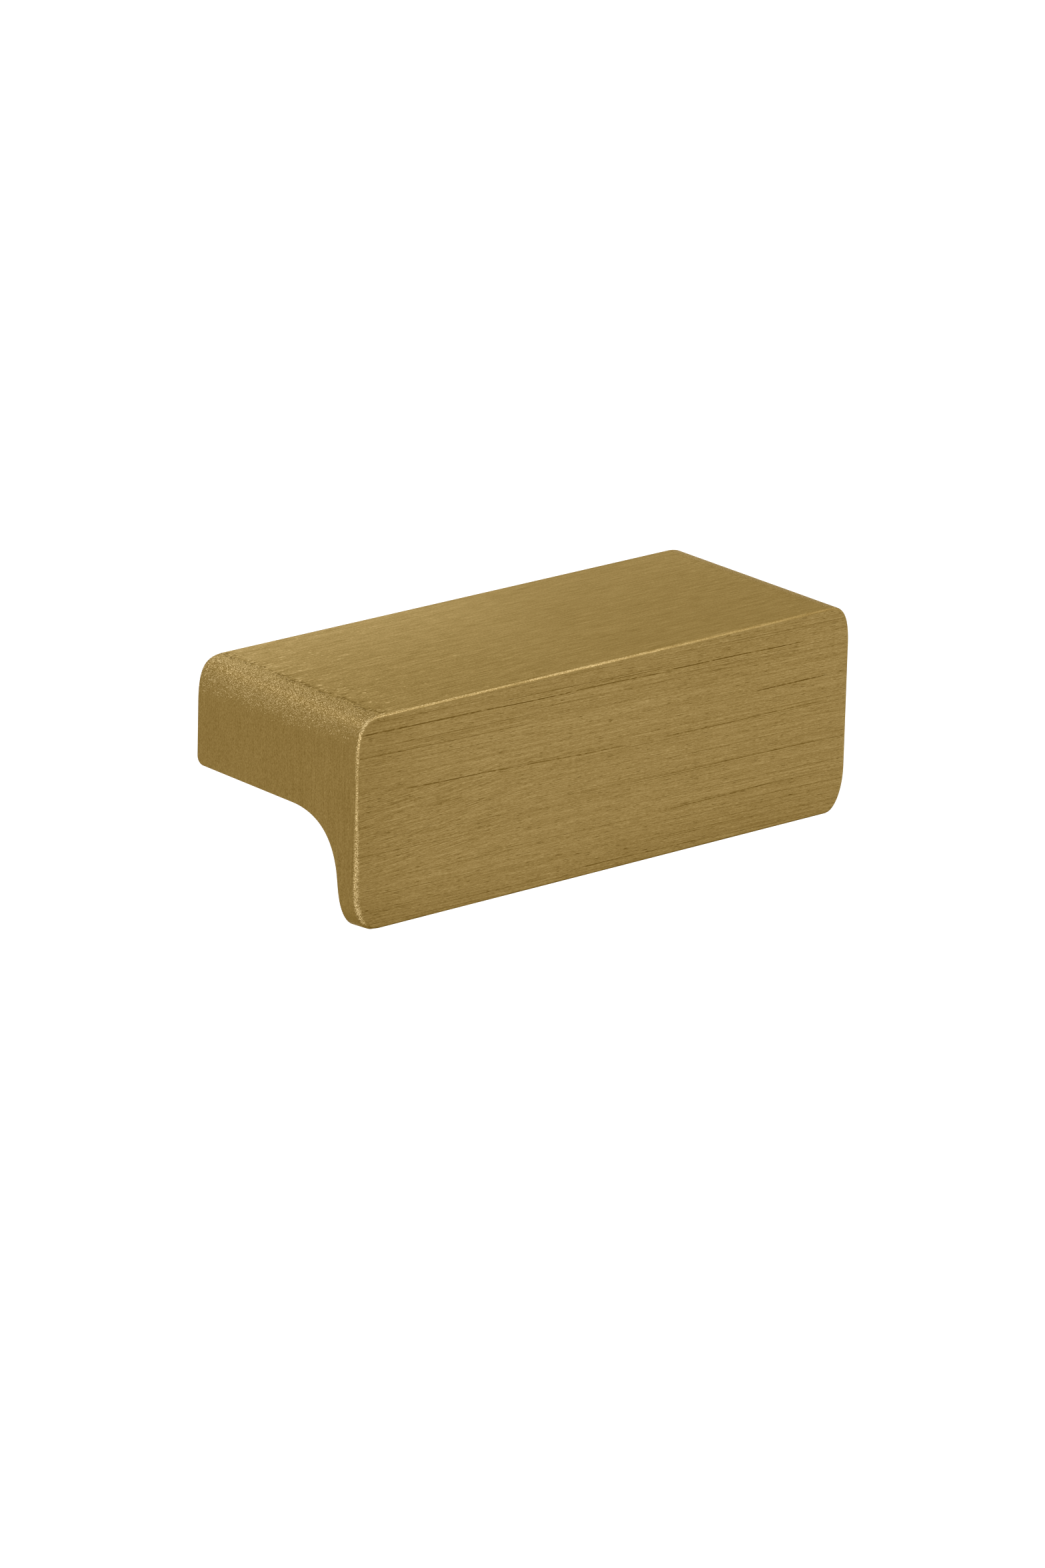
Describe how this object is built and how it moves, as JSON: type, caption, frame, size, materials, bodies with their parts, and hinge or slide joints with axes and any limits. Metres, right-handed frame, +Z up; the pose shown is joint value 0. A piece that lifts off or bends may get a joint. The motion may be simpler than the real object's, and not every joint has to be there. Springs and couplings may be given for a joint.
{
  "type": "bar pull",
  "caption": "Short L-section bar pull for a drawer or cabinet front: a thick ledge with a thin hanging lip, rounded ends and a soft finger hollow behind the lip.",
  "frame": {"origin": "midway between the two screw holes, on the flat back face that bears on the drawer front", "axes": "+X along the pull, to the right as seen by someone facing it; +Y into the drawer front, so the pull stands out along -Y; +Z up"},
  "size_m": [0.07, 0.027, 0.0239],
  "materials": {
    "brushed_brass": "satin brass, brushed along the length on the front, top and underside and up and down on the ends"
  },
  "bodies": {
    "root": {"pull_body": "brushed_brass"}
  },
  "joints": []
}
